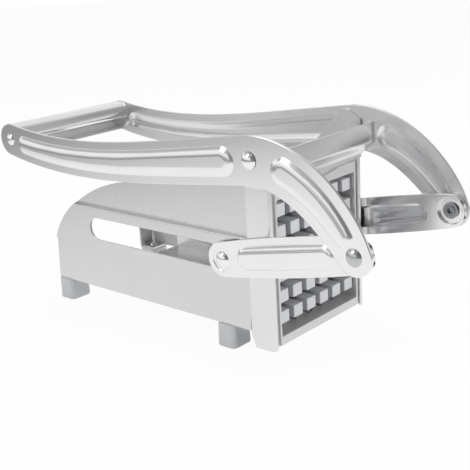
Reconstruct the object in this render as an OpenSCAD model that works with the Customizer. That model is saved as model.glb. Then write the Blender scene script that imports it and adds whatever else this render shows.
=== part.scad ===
// Hand-lever french fry cutter, shown closed: handle down and pusher pegs through the blade grid.
// +X is the blade end, +Y the left side, +Z up. Origin: on the table, under the middle of the whole cutter.

/* [Base] */
// Length from the rear edge of the side walls to the housing's front face
base_len = 176.9; // [172:0.5:190]
// Outer width of the front housing
housing_w = 83.8; // [82:0.5:90]
// Gap between the table and the underside of the housing
stand_h = 4.6; // [4:0.2:8]
// Thickness of the body sheet
sheet_t = 1.2; // [1:0.1:1.3]

/* [Side walls] */
// Height of the free lower edge of the walls
skirt_h = 13.5; // [12.5:0.5:16]
// Height of the crease where the skirt starts to flare
crease_h = 39.4; // [36:0.2:40]
// How far the skirt flares out at its lower edge
skirt_flare = 1.3; // [0.5:0.1:1.3]
// How far the skirt's rear edge lies in front of the band's
skirt_set_in = 1.3; // [0.5:0.1:3]
// Width of the flange turned in at the skirt's rear edge
rear_flange_w = 11; // [6:0.5:13]
// Height of the top of the wide band
band_top_h = 63.8; // [62:0.2:66]
// Height of the sloped step above the band
step_h = 1.8; // [1:0.1:3]
// How far the upper wall is set in from the band
step_in = 2.2; // [1.5:0.1:2.4]
// Length of the rounded rear of the wall
shoulder_len = 66.9; // [60:0.5:75]
// Height of the wall's top where the rounded rear ends
shoulder_h = 82.6; // [78:0.2:88]
// Height of the wall's top at its front end
wall_front_h = 96.4; // [90:0.2:99]

/* [Pusher slot] */
// Clearance between the rollers and the slot's edges
slot_play = 0.4; // [0.2:0.1:1]
// Height of the slot's middle
slot_mid_h = 51; // [48:0.2:53]
// Slot left behind the rollers when the handle is fully open
slot_rear_spare = 1.7; // [0.5:0.1:8]
// Slot left in front of the rollers when the handle is closed
slot_front_spare = 2.3; // [0.5:0.1:4]

/* [Front housing] */
// Depth of the housing's sides
housing_d = 14.9; // [14:0.1:18]
// Width of the housing's front lips
lip_w = 3.6; // [3:0.1:5]
// Outer radius of the housing's vertical bends
bend_r = 2.2; // [1.8:0.1:3.4]
// Height of the slanted cut at the housing's rear foot
foot_cut_h = 7.1; // [4:0.1:12]
// Length of that slanted cut
foot_cut_l = 2.3; // [1:0.1:5]
// Clearance between the cartridge's top edge and the hood
hood_clear = 0.8; // [0.4:0.1:2]
// Straight part of the sides from the hood's lower edge up to the joggles
joggle_lead = 1.6; // [0.6:0.1:3]
// Height of the slanted joggles that carry the ears out
joggle_rise = 2.2; // [1.6:0.1:4]
// How far the hood bulges forward of the front face
hood_bulge = 6.4; // [4:0.1:8]
// Flat strip of the hood between its lower edge and the bulge
hood_lead = 1.8; // [1:0.1:3]
// Height of the hood's S-shaped bulge
hood_bend_rise = 8.6; // [6:0.1:12]
// Height of the hood's upright top panel
hood_panel_h = 9.4; // [6:0.1:13]
// Outer radius of the bends between the hood and the ears
hood_bend_r = 3.4; // [2:0.1:5]
// Distance the ears reach back from the front face
ear_back = 35.5; // [30:0.5:40]
// Distance from the pivot up to the ears' rounded top
ear_rise = 10.2; // [7:0.1:13]
// Radius of the ears' rounded top
ear_top_r = 5; // [3:0.1:6]
// Size of the relief notch between ear and hood
relief = 4.4; // [3:0.1:6]

/* [Blade cartridge] */
// Number of cells across and up
cells = 6; // [5:1:7]
// Distance between neighbouring blades
cell_pitch = 11.75; // [11.6:0.05:11.9]
// Height of the bottom peg row's middle above the opening's lower edge
first_row_rise = 9.3; // [8.8:0.1:9.6]
// Half width of the frame's opening
opening_half_w = 34.5; // [34.2:0.1:35]
// Height of the opening's lower edge
opening_low_h = 11; // [10.5:0.1:12]
// Height of the opening from its lower to its upper edge
opening_h = 74.4; // [74:0.1:75]
// Width of the rim beside the opening
rim_side_w = 1.4; // [1.2:0.1:2]
// Depth of the raised rim in front of the rails
rim_d = 1.5; // [1.4:0.1:2]
// Depth of the whole cartridge
cartridge_d = 15; // [14:0.1:16]
// Width of the rim above the opening
rim_top_w = 6.2; // [4.6:0.1:7]
// Half width of the thumb dip in the rim's top edge
thumb_half_w = 22; // [14:0.5:28]
// Depth of the thumb dip
thumb_dip = 2.4; // [1:0.1:3]
// Thickness of the cartridge's sheet
cartridge_t = 1.3; // [1.1:0.1:1.5]
// Thickness of each blade
blade_t = 0.6; // [0.4:0.05:0.8]
// Depth of each blade from cutting edge to back
blade_d = 6; // [5:0.1:7]
// Depth of the ground bevel on each blade
bevel_d = 1.6; // [1:0.1:2.4]
// How far the blades lie behind the front face
blade_back = 8.6; // [8:0.1:8.8]

/* [Pusher] */
// Width of each peg
peg_w = 8; // [7:0.1:8.6]
// Height of each peg
peg_h = 7.2; // [6.6:0.1:8]
// How far the pegs' faces lie behind the front face
peg_back = 2; // [1:0.1:4]
// Taper of each peg from root to face, on each side
peg_taper = 0.2; // [0:0.05:0.3]
// Gap between the cartridge and the peg block's plate
block_clear = 4; // [3:0.1:5]
// Thickness of the peg block's plate
block_t = 5; // [4:0.1:5.4]
// Half width of the peg block's plate
block_half_w = 36; // [35.5:0.1:36.4]
// Thickness of the carrier's sheet
carrier_t = 1.2; // [1:0.1:1.4]
// Distance from the carrier's plate back to the cross pins
pin_set = 6.5; // [6:0.1:9]
// Sheet of the carrier's flanges behind the cross pins
flange_margin = 12.8; // [9:0.2:16]
// Height of the carrier's side flanges
flange_h = 30; // [24:0.5:34]
// Radius of the pusher's cross pins
pin_r = 3; // [2.5:0.1:3.4]
// Radius of the rollers that run in the slots
roller_r = 6.4; // [5.8:0.1:6.5]

/* [Handle] */
// Distance from the front face back to the handle's pivot
pivot_back = 6.1; // [5:0.1:8]
// Height of the handle's pivot above the hood's lower edge
pivot_rise = 15.7; // [14:0.1:17]
// Distance from the pivot back to the grip's middle
grip_reach = 197; // [180:1:210]
// Distance from the pivot down to the grip's middle
grip_drop = 7; // [4:0.2:12]
// Distance from the pivot forward to the elbow joint
elbow_reach = 61; // [58:0.2:62]
// Distance from the pivot down to the elbow joint
elbow_drop = 39.5; // [38:0.2:42]
// Sag of the arm's rear sweep near the grip
sweep_rear = 15.5; // [8:0.5:20]
// Sag of the arm's rear sweep near the pivot
sweep_front = 5; // [2:0.5:8]
// Length of the arm's tangent in front of the pivot
lead_len = 32; // [28:0.5:36]
// Rise of the arm's tangent in front of the pivot
lead_rise = 0.7; // [0:0.1:3]
// Length of the arm's tangent above the elbow
drop_len = 11.6; // [8:0.2:16]
// Inward lean of the arm's tangent above the elbow
drop_in = 6.4; // [3:0.1:8]
// Angle that the handle opens through
open_deg = 90; // [60:1:90]
// Thickness of the arms
arm_t = 1.5; // [1.2:0.1:1.8]
// Half width of the arm at the grip
arm_half_grip = 10; // [9.5:0.1:11]
// Half width of the arm at the pivot
arm_half_pivot = 12.8; // [12:0.1:14]
// Half width of the arm at the elbow
arm_half_elbow = 9.8; // [9:0.1:11]
// Extra half width in the middle of the arm's front sweep
arm_front_swell = 1.1; // [0:0.1:3]
// Plain border between the arm's edge and its ribs
rim_w = 4.2; // [3.6:0.1:5]
// Height of the pressed ribs
rib_h = 1.8; // [1:0.1:2.2]
// Radius of the grip tube
grip_r = 9.6; // [9:0.1:9.8]
// Thickness of the grip's sheet
grip_t = 1.2; // [1:0.1:1.6]
// Angle of the grip's upper lip above level
grip_lip_deg = 12; // [0:1:30]
// Angle of the grip's lower edge below level
grip_open_deg = 85; // [60:1:95]
// Radius of the tie rod inside the grip
tie_rod_r = 2.5; // [2:0.1:3]

/* [Links] */
// Clearance between the housing's side and the links
link_gap = 0.5; // [0.4:0.1:1.5]
// Thickness of the links
link_t = 1.4; // [1.2:0.1:1.6]
// Half width of the link at the pusher
link_half_rear = 9.6; // [9:0.1:11]
// Half width of the link at the elbow
link_half_elbow = 9.4; // [9.2:0.1:10.5]
// Extra half width in the link's middle
link_swell = 1.2; // [0:0.1:2]
// Height of the link's pressed rib
link_rib_h = 1.5; // [1:0.1:1.6]
// Radius of the dished boss at the elbow
boss_r = 8.8; // [7.5:0.1:9]
// Radius of the elbow rivets
elbow_rivet_r = 3; // [2.5:0.1:3.4]
// Radius of the washers behind the links
washer_r = 4.4; // [4:0.1:6]

/* [Fasteners] */
// Radius of the pivot rivets' shanks
rivet_r = 3; // [2.5:0.1:3.4]
// Radius of the domed heads at pivot, elbow and pusher
dome_r = 4.6; // [4:0.1:5]
// Height of the domed heads
dome_h = 2.2; // [1.5:0.1:2.4]
// Radius of the screws that hold the feet
foot_screw_r = 1.6; // [1.2:0.1:1.8]

/* [Feet] */
// Length of each foot
foot_l = 13.2; // [10:0.1:14]
// Width of each foot
foot_w = 15.6; // [14:0.2:17]
// How far each foot stands out from the skirt's lower edge
foot_out = 1.6; // [1:0.1:2.5]
// Distance from the front face to the middle of the front feet
foot_front = 33.3; // [32:0.1:36]
// Distance from the walls' rear edge to the middle of the rear feet
foot_rear = 7.2; // [7:0.1:12]
// Corner radius of each foot
foot_corner_r = 3; // [1:0.1:4]
// Draft of each foot's sides from bottom to top
foot_draft = 0.3; // [0:0.1:1.2]

/* [Hidden] */
// Clearance between moving parts, and between a part and its seat
gap = 0.3;
// Radial clearance of a shaft in its hole
run = 0.05;
// Overrun of a cut past the surface it opens
over = 1;
// Thickness of each rivet's peened tail
tail_h = 1.1;
// Radius of each rivet's peened tail
tail_r = 4;
// Play of the cartridge behind the lips
play = 0.3;
// Clearance between the peg block's plate and the top of the cartridge's opening
block_play = 0.7;
// A right angle
quarter = 90;

// Heights, stacked from the table up
opening_top_h = opening_low_h + opening_h;
first_row_h = opening_low_h + first_row_rise;
cartridge_top_h = opening_top_h + rim_top_w;
hood_low_h = cartridge_top_h + hood_clear;
joggle_h = hood_low_h + joggle_lead;
hood_bend_low_h = hood_low_h + hood_lead;
hood_bend_top_h = hood_bend_low_h + hood_bend_rise;
hood_top_h = hood_bend_top_h + hood_panel_h;
pivot_h = hood_low_h + pivot_rise;

// Places along the length. The whole cutter reaches equally far to each side of X = 0.
front_x = pivot_back + (grip_reach + arm_half_grip - elbow_reach - arm_half_elbow) / 2;
rear_x = front_x - base_len;
pivot_x = front_x - pivot_back;
grip_x = pivot_x - grip_reach;
grip_h = pivot_h - grip_drop;
elbow_x = pivot_x + elbow_reach;
ear_low_h = joggle_h + joggle_rise;
ear_top_h = pivot_h + ear_rise;
elbow_h = pivot_h - elbow_drop;
block_x = front_x - cartridge_d - block_clear;
carrier_x = block_x - block_t;
pin_x = carrier_x - carrier_t - pin_set;

// The linkage: each link spans from elbow to pin while closed, and its length sets the pin's travel
link_len = norm([elbow_x - pin_x, elbow_h - slot_mid_h]);
open_elbow = [
    pivot_x + elbow_reach * cos(open_deg) - elbow_drop * sin(open_deg),
    pivot_h - elbow_reach * sin(open_deg) - elbow_drop * cos(open_deg)
];
open_pin_x = open_elbow[0] - sqrt(link_len * link_len - pow(open_elbow[1] - slot_mid_h, 2));

// Layers across the width, each measured from the middle plane out to the piece's inner face
housing_half = housing_w / 2;
band_half = housing_half - sheet_t;
link_in = housing_half + link_gap;
link_out = link_in + link_t;
arm_in = link_out + link_rib_h + 2 * gap;
arm_out = arm_in + arm_t;
ear_in = arm_in - gap - sheet_t;
upper_half = band_half - step_in;
skirt_half = band_half + skirt_flare;
flange_out = upper_half - sheet_t - gap;

// Small shapes and helpers
function lerp(a, b, s) = a + (b - a) * s;
function bezier(a, b, c, d, s) =
    pow(1 - s, 3) * a + 3 * pow(1 - s, 2) * s * b + 3 * (1 - s) * s * s * c + pow(s, 3) * d;
function unit(v) = v / norm(v);
function last(v) = len(v) - 1;
function heading(path, i) = unit(path[min(i + 1, last(path))] - path[max(i - 1, 0)]);
function beside(path, widths, i, side) =
    path[i] + side * widths[i] * [-heading(path, i)[1], heading(path, i)[0]];
end_steps = 10;
function round_end(centre, radius, from_deg) = [for (k = [1 : end_steps - 1])
    centre + radius * [cos(from_deg - 180 * k / end_steps), sin(from_deg - 180 * k / end_steps)]];
function turn(v) = atan2(v[1], v[0]);

// Outline of a strip that follows a path, with its own half width at each point and round ends
function strip(path, widths) = concat(
    [for (i = [0 : last(path)]) beside(path, widths, i, 1)],
    round_end(path[last(path)], widths[last(path)], turn(heading(path, last(path))) + quarter),
    [for (i = [last(path) : -1 : 0]) beside(path, widths, i, -1)],
    round_end(path[0], widths[0], turn(heading(path, 0)) - quarter)
);

// Right side pieces are drawn in the side view and stand out towards -Y
module plate(inner, t) {
    translate([0, -inner, 0]) rotate([90, 0, 0]) linear_extrude(t) children();
}
module across(x, h, inner, r, l) {
    translate([x, -inner, h]) rotate([90, 0, 0]) cylinder(r = r, h = l, $fn = 48);
}
module dome(x, h, inner, r, rise) {
    ball_r = (r * r + rise * rise) / (2 * rise);
    translate([x, -inner, h]) rotate([90, 0, 0]) intersection() {
        translate([0, 0, rise - ball_r]) sphere(ball_r, $fn = 64);
        cylinder(r = r, h = rise, $fn = 48);
    }
}
module left() {
    mirror([0, 1, 0]) children();
}
module both() {
    children();
    left() children();
}

// Closed skin through rings of equal length, the first ring nearest the middle plane. Each end is closed
// by a ladder of quads across the strip, from the middle of one round end to the middle of the other.
module skin(rings) {
    n = len(rings[0]);
    points = [for (ring = rings) each ring];
    sides = [for (k = [0 : len(rings) - 2]) for (i = [0 : n - 1])
        let (a = k * n + i, b = k * n + (i + 1) % n)
        each [[a, b, b + n], [a, b + n, a + n]]];
    top = n * (len(rings) - 1);
    ladder = [for (j = [0 : n / 2 - 1]) let (
        a = (n - end_steps / 2 + j) % n, b = (n - end_steps / 2 + j + 1) % n,
        c = (2 * n - end_steps / 2 - j - 1) % n, d = (2 * n - end_steps / 2 - j) % n
    ) j == 0 ? [a, b, c] : j == n / 2 - 1 ? [a, b, d] : [a, b, c, d]];
    first_cap = [for (q = ladder) [for (i = [len(q) - 1 : -1 : 0]) q[i]]];
    last_cap = [for (q = ladder) [for (i = q) i + top]];
    polyhedron(points, concat(first_cap, sides, last_cap), convexity = 6);
}
function ring_at(outline, inner) = [for (p = outline) [p[0], -inner, p[1]]];
function shrink(widths, d) = [for (w = widths) w - d];

// A pressed rib: its shell above the sheet, or the hollow behind it. The shares shape its S-shaped flank.
rib_inset_shares = [0, 0.18, 0.45, 0.75, 1];
rib_rise_shares = [-0.06, 0.12, 0.55, 0.9, 1];
module rib_form(path, widths, inner, rise, flank, start) {
    skin(concat(
        [ring_at(strip(path, widths), inner - start)],
        [for (k = [0 : last(rib_inset_shares)])
            ring_at(strip(path, shrink(widths, flank * rib_inset_shares[k])), inner + rise * rib_rise_shares[k])]
    ));
}

// Arm centre line: a rear sweep from the grip to the pivot and a front sweep on to the elbow
arm_steps = 22;
grip_at = [grip_x, grip_h];
pivot_at = [pivot_x, pivot_h];
elbow_at = [elbow_x, elbow_h];
pin_at = [pin_x, slot_mid_h];
function rear_arm(s) = bezier(grip_at, lerp(grip_at, pivot_at, 1 / 3) - [0, sweep_rear],
    lerp(grip_at, pivot_at, 2 / 3) - [0, sweep_front], pivot_at, s);
function front_arm(s) = bezier(pivot_at, pivot_at + [lead_len, lead_rise],
    elbow_at + [-drop_in, drop_len], elbow_at, s);
function rear_half(s) = lerp(arm_half_grip, arm_half_pivot, s);
function front_half(s) = lerp(arm_half_pivot, arm_half_elbow, s) + arm_front_swell * 4 * s * (1 - s);
function steps_between(a, b, n) = [for (i = [0 : n]) lerp(a, b, i / n)];

// Shares of each sweep that its rib takes up
rear_rib_share = [0.07, 0.91];
front_rib_share = [0.24, 0.8];
front_rib_taper_share = 0.84;
rib_flank = 3.4;
rib_steps = 13;

module arm_outline() {
    rear = steps_between(0, 1, arm_steps);
    front = [for (s = steps_between(0, 1, arm_steps)) if (s > 0) s];
    polygon(strip(
        concat([for (s = rear) rear_arm(s)], [for (s = front) front_arm(s)]),
        concat([for (s = rear) rear_half(s)], [for (s = front) front_half(s)])
    ));
}
module arm_rib(inner, d, start) {
    rear = steps_between(rear_rib_share[0], rear_rib_share[1], rib_steps);
    front = steps_between(front_rib_share[0], front_rib_share[1], rib_steps);
    rib_form([for (s = rear) rear_arm(s)], [for (s = rear) rear_half(s) - rim_w - d], inner, rib_h, rib_flank, start);
    rib_form([for (s = front) front_arm(s)], [for (s = front) (front_half(s) - rim_w) * lerp(1, front_rib_taper_share, s) - d],
        inner, rib_h, rib_flank, start);
}
module arm() {
    difference() {
        union() {
            plate(arm_in, arm_t) arm_outline();
            arm_rib(arm_out, 0, arm_t / 2);
        }
        arm_rib(arm_in, arm_t / 3, over);
        across(pivot_x, pivot_h, arm_in - over, rivet_r + run, arm_t + 2 * over);
        across(elbow_x, elbow_h, arm_in - over, elbow_rivet_r, arm_t + 2 * over);
        across(grip_x, grip_h, arm_in - over, tie_rod_r, arm_t + 2 * over);
    }
}

// Link from the pusher pin to the elbow, with a rib, a dished elbow boss and a sunk seat for its rivet
link_rib_share = [0.2, 0.78];
link_end_share = 0.99;
link_rim_w = 3.8;
link_flank = 2.8;
seat_r = dome_r + 1.6;
seat_d = link_t / 3;
boss_rise = arm_in - gap - link_out;
module link_rib(inner, d, start) {
    s = steps_between(link_rib_share[0], link_rib_share[1], 6);
    rib_form([for (v = s) lerp(pin_at, elbow_at, v)], [for (v = s) link_half(v) - link_rim_w - d],
        inner, link_rib_h, link_flank, start);
}
function link_half(s) = lerp(link_half_rear, link_half_elbow, s) + link_swell * 4 * s * (1 - s);
module link() {
    s = steps_between(0, link_end_share, 12);
    difference() {
        union() {
            plate(link_in, link_t)
                polygon(strip([for (v = s) lerp(pin_at, elbow_at, v)], [for (v = s) link_half(v)]));
            link_rib(link_out, 0, arm_t / 2);
            across(elbow_x, elbow_h, link_out - link_t / 2, boss_r, boss_rise + link_t / 2);
        }
        link_rib(link_in, link_t / 3, over);
        across(elbow_x, elbow_h, link_in - over, boss_r - link_t, boss_rise + over);
        across(elbow_x, elbow_h, link_in - over, elbow_rivet_r + run, boss_rise + link_t + 2 * over);
        across(pin_x, slot_mid_h, link_in - over, pin_r, link_t + 2 * over);
        across(pin_x, slot_mid_h, link_out - seat_d, seat_r, seat_d + over);
    }
}

// Side wall: a folded section drawn along the length, trimmed to the wall's side view
wall_front_x = front_x - sheet_t - play - cartridge_t - play;
skirt_front_x = front_x - housing_d - gap;
skirt_rear_x = rear_x + skirt_set_in;
crease_skin = sheet_t;
module wall_section() {
    polygon([
        [skirt_half, skirt_h], [band_half, crease_h], [band_half, band_top_h],
        [upper_half, band_top_h + step_h], [upper_half, wall_front_h + over],
        [upper_half - sheet_t, wall_front_h + over], [upper_half - sheet_t, band_top_h + step_h - sheet_t / 2],
        [band_half - sheet_t, band_top_h - sheet_t / 2], [band_half - sheet_t, crease_h],
        [skirt_half - sheet_t, skirt_h]
    ]);
}
// Shares of the shoulder's length and height that its curve is drawn through
shoulder_back_share = [0, 0.1, 0.46, 1];
shoulder_up_share = [0, 0.4, 0.86, 1];
function shoulder(k) = [rear_x + shoulder_len * shoulder_back_share[k],
    lerp(crease_h, shoulder_h, shoulder_up_share[k])];
module wall_side_view() {
    polygon(concat(
        [[skirt_rear_x, skirt_h], [skirt_rear_x, crease_h]],
        [for (s = steps_between(0, 1, 14)) bezier(shoulder(0), shoulder(1), shoulder(2), shoulder(3), s)],
        [[wall_front_x, wall_front_h], [wall_front_x, crease_h], [skirt_front_x, crease_h], [skirt_front_x, skirt_h]]
    ));
}
module slot_view() {
    slot_r = roller_r + slot_play;
    ends_x = [open_pin_x - roller_r - slot_rear_spare + slot_r, pin_x + roller_r + slot_front_spare - slot_r];
    for (x = ends_x) translate([x, slot_mid_h]) circle(slot_r, $fn = 48);
    translate([ends_x[0], slot_mid_h - slot_r]) square([ends_x[1] - ends_x[0], 2 * slot_r]);
}
module foot_tab(x) {
    translate([x - foot_l / 2, -(skirt_half - sheet_t), skirt_h]) cube([foot_l, foot_w - foot_out - 2 * sheet_t, sheet_t]);
}
foot_mid = skirt_half + foot_out - foot_w / 2;
foot_rear_x = rear_x + foot_rear;
foot_front_x = front_x - foot_front;
module wall() {
    difference() {
        union() {
            intersection() {
                translate([rear_x - over, 0, 0]) rotate([90, 0, 90]) linear_extrude(base_len + over)
                    mirror([1, 0]) wall_section();
                plate(0, housing_w) wall_side_view();
            }
            // Flange turned in at the rear edge of the skirt
            translate([skirt_rear_x, -(band_half - sheet_t), skirt_h])
                cube([sheet_t, rear_flange_w, crease_h - skirt_h - sheet_t]);
            foot_tab(foot_rear_x);
            foot_tab(foot_front_x);
        }
        plate(0, housing_w) slot_view();
        for (x = [foot_rear_x, foot_front_x])
            translate([x, -foot_mid, skirt_h - over]) cylinder(r = foot_screw_r, h = sheet_t + 2 * over, $fn = 32);
    }
}

// Floor tray between the walls: its turned-up edges lean with the skirts and are spot welded to them
tray_h = skirt_h + sheet_t;
tray_side_h = 9;
// Distance from the walls' rear edge to the tray
tray_set_in = 27;
tray_rear_x = rear_x + tray_set_in;
tray_front_x = front_x - cartridge_d - gap;
function skirt_inside(h) = skirt_half - sheet_t - skirt_flare * (h - skirt_h) / (crease_h - skirt_h);
module floor_tray() {
    low = skirt_inside(tray_h);
    high = skirt_inside(tray_h + tray_side_h);
    color("silver") difference() {
        tray_sheet(low, high);
        both() translate([foot_front_x, -foot_mid, tray_h - over])
            cylinder(r = screw_head_r + gap, h = sheet_t + 2 * over, $fn = 48);
    }
}
module tray_sheet(low, high) {
    union() {
        translate([tray_rear_x, 0, 0]) rotate([90, 0, 90]) linear_extrude(tray_front_x - tray_rear_x) polygon([
            [-low, tray_h], [low, tray_h], [low - sheet_t, tray_h + sheet_t], [-low + sheet_t, tray_h + sheet_t]
        ]);
        both() translate([tray_rear_x, 0, 0]) rotate([90, 0, 90]) linear_extrude(skirt_front_x - tray_rear_x)
            polygon([
                [-low, tray_h], [-high, tray_h + tray_side_h],
                [-high + sheet_t, tray_h + tray_side_h], [-low + sheet_t, tray_h]
            ]);
    }
}

// Front housing: bent side columns with front lips and a bottom web. The hood and its pivot ears stand
// on the columns.
module column_section() {
    translate([front_x - housing_d, -housing_half]) square([housing_d - bend_r, sheet_t]);
    translate([front_x - sheet_t, -housing_half + bend_r]) square([sheet_t, lip_w - bend_r]);
    translate([front_x - bend_r, -housing_half + bend_r]) intersection() {
        difference() {
            circle(bend_r, $fn = 48);
            circle(bend_r - sheet_t, $fn = 48);
        }
        translate([0, -bend_r]) square([bend_r, bend_r]);
    }
}
module column() {
    difference() {
        translate([0, 0, stand_h]) linear_extrude(hood_low_h - stand_h) column_section();
        plate(housing_half - sheet_t - over, sheet_t + 2 * over) polygon([
            [front_x - housing_d - over, stand_h - over], [front_x - housing_d + foot_cut_l, stand_h - over],
            [front_x - housing_d + foot_cut_l, stand_h], [front_x - housing_d, stand_h + foot_cut_h],
            [front_x - housing_d - over, stand_h + foot_cut_h]
        ]);
    }
}
ear_top = [pivot_x - ear_top_r - rivet_r / 2, ear_top_h - ear_top_r];
ear_front_deg = 65;
ear_rear_deg = 45;
module ear_view() {
    polygon([
        [front_x - ear_back, ear_low_h], [hood_back_x + over, ear_low_h], [hood_back_x + over, hood_top_h],
        ear_top + ear_top_r * [cos(ear_front_deg), sin(ear_front_deg)],
        ear_top - ear_top_r * [cos(ear_rear_deg), -sin(ear_rear_deg)]
    ]);
    translate(ear_top) circle(ear_top_r, $fn = 48);
}
module ear() {
    difference() {
        union() {
            plate(ear_in, sheet_t) ear_view();
            // Slanted joggle that carries the ear out from the housing's side
            translate([front_x - housing_d, 0, 0]) rotate([90, 0, 90]) linear_extrude(housing_d - bend_r) mirror([1, 0])
                polygon([
                    [housing_half - sheet_t, joggle_h], [housing_half, joggle_h],
                    [ear_in + sheet_t, ear_low_h], [ear_in, ear_low_h]
                ]);
        }
        across(pivot_x, pivot_h, ear_in - over, rivet_r, sheet_t + 2 * over);
    }
}
// Hood: a sheet that bends round from ear to ear, its side view an S that bulges forward
// Shares of the bulge's height that shape the S
hood_bend_share = [0.42, 0.6];
hood_steps = 12;
function hood_front(s) = bezier(
    [front_x, hood_bend_low_h], [front_x, lerp(hood_bend_low_h, hood_bend_top_h, hood_bend_share[0])],
    [front_x + hood_bulge, lerp(hood_bend_low_h, hood_bend_top_h, hood_bend_share[1])],
    [front_x + hood_bulge, hood_bend_top_h], s);
function corner(x, y, r, from_deg, to_deg) =
    [for (k = [0 : 6]) [x, y] + r * [cos(lerp(from_deg, to_deg, k / 6)), sin(lerp(from_deg, to_deg, k / 6))]];
hood_back_x = front_x + hood_bulge - hood_bend_r - relief;
hood_out = ear_in + sheet_t;
module hood_side(inset) {
    polygon(concat(
        [[hood_back_x - inset, hood_low_h - inset]], [[front_x - inset, hood_low_h - inset]],
        [for (s = steps_between(0, 1, hood_steps)) hood_front(s) - [inset, 0]],
        [[front_x + hood_bulge - inset, hood_top_h + inset], [hood_back_x - inset, hood_top_h + inset]]
    ));
}
module hood_plan(inset) {
    r = hood_bend_r - inset;
    x = front_x + hood_bulge - hood_bend_r;
    y = hood_out - hood_bend_r;
    polygon(concat(
        [[hood_back_x - inset, -hood_out + inset]], corner(x, -y, r, -90, 0),
        corner(x, y, r, 0, 90), [[hood_back_x - inset, hood_out - inset]]
    ));
}
// Front view of the hood: narrow at its lower edge and widening with the joggles
module hood_face(inset) {
    out = hood_out - inset;
    low = housing_half - inset;
    polygon([
        [-low, hood_low_h - 2 * over], [low, hood_low_h - 2 * over], [low, joggle_h + inset / 2],
        [out, ear_low_h + inset / 2], [out, hood_top_h + 2 * over], [-out, hood_top_h + 2 * over],
        [-out, ear_low_h + inset / 2], [-low, joggle_h + inset / 2]
    ]);
}
module hood_block(inset) {
    intersection() {
        translate([hood_back_x - 2 * over, 0, 0]) rotate([90, 0, 90])
            linear_extrude(hood_bulge + hood_bend_r + 6 * over) hood_face(inset);
        plate(-hood_out + inset, 2 * (hood_out - inset)) hood_side(inset);
        translate([0, 0, hood_low_h - 2 * over]) linear_extrude(hood_top_h - hood_low_h + 4 * over) hood_plan(inset);
    }
}
module hood_sheet() {
    difference() {
        hood_block(0);
        hood_block(sheet_t);
    }
}
module relief_notch() {
    plate(ear_in - over, sheet_t + 2 * over) polygon([
        [hood_back_x, hood_top_h - relief], [hood_back_x + relief / 2, hood_top_h + over],
        [hood_back_x - relief / 4, hood_top_h + over]
    ]);
}
module front_housing() {
    color("lightgray") {
        both() column();
        // Bottom web that joins the two sides under the cartridge
        translate([front_x - housing_d + foot_cut_l, -band_half, stand_h])
            cube([housing_d - foot_cut_l - bend_r, 2 * band_half, sheet_t]);
    }
}
module hood() {
    color("lightgray") difference() {
        union() {
            both() {
                translate([0, 0, hood_low_h]) linear_extrude(joggle_h - hood_low_h) column_section();
                ear();
            }
            hood_sheet();
        }
        both() relief_notch();
    }
}
module pivot_rivets() {
    color("gainsboro") both() {
        across(pivot_x, pivot_h, ear_in, rivet_r, arm_out - ear_in);
        across(pivot_x, pivot_h, ear_in - tail_h, tail_r, tail_h);
        across(pivot_x, pivot_h, arm_out, rivet_r, gap);
        dome(pivot_x, pivot_h, arm_out + gap, dome_r, dome_h);
    }
}

// Feet: rounded blocks under the skirt's tabs
module foot(x) {
    half_l = foot_l / 2 - foot_corner_r;
    half_w = foot_w / 2 - foot_corner_r;
    color("darkgray") translate([x, -foot_mid, 0]) difference() {
        union() {
            hull() for (sx = [-1, 1]) for (sy = [-1, 1])
                translate([sx * half_l, sy * half_w, 0])
                    cylinder(r1 = foot_corner_r, r2 = foot_corner_r - foot_draft, h = skirt_h, $fn = 24);
        }
        translate([0, 0, skirt_h / 2]) cylinder(r = foot_screw_r, h = skirt_h, $fn = 32);
    }
}
screw_head_r = 1.7 * foot_screw_r;
module foot_screws() {
    color("gainsboro") both() for (x = [foot_rear_x, foot_front_x]) {
        translate([x, -foot_mid, skirt_h / 2]) cylinder(r = foot_screw_r, h = skirt_h / 2 + sheet_t, $fn = 32);
        translate([x, -foot_mid, skirt_h + sheet_t]) cylinder(r = screw_head_r, h = tail_h, $fn = 32);
    }
}

// Blade cartridge: a box frame with a raised rim, side rails behind the lips and a thumb tab
rail_front_x = front_x - rim_d;
rail_half = band_half - play;
frame_low_h = stand_h + sheet_t + gap;
rim_half_w = opening_half_w + rim_side_w;
thumb_r = (thumb_half_w * thumb_half_w + thumb_dip * thumb_dip) / (2 * thumb_dip);
module cartridge_frame() {
    color("silver") difference() {
        union() {
            // Raised rim
            translate([rail_front_x, -rim_half_w, frame_low_h])
                cube([rim_d, 2 * rim_half_w, cartridge_top_h - frame_low_h]);
            // Rail plate that slides behind the lips
            translate([rail_front_x - cartridge_t, -rail_half, frame_low_h])
                cube([cartridge_t, 2 * rail_half, cartridge_top_h - frame_low_h]);
            // Box that carries the blades
            translate([front_x - cartridge_d, -rim_half_w, opening_low_h - cartridge_t])
                cube([cartridge_d - rim_d, 2 * rim_half_w, opening_top_h - opening_low_h + 2 * cartridge_t]);
        }
        translate([rail_front_x, 0, cartridge_top_h - thumb_dip + thumb_r]) rotate([0, 90, 0])
            cylinder(r = thumb_r, h = rim_d + over, $fn = 180);
        translate([front_x - cartridge_d - over, -opening_half_w, opening_low_h])
            cube([cartridge_d + 2 * over, 2 * opening_half_w, opening_top_h - opening_low_h]);
        for (k = [1 : cells - 1]) {
            upright_blade(k, run);
            level_blade(k, run);
        }
    }
}

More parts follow.
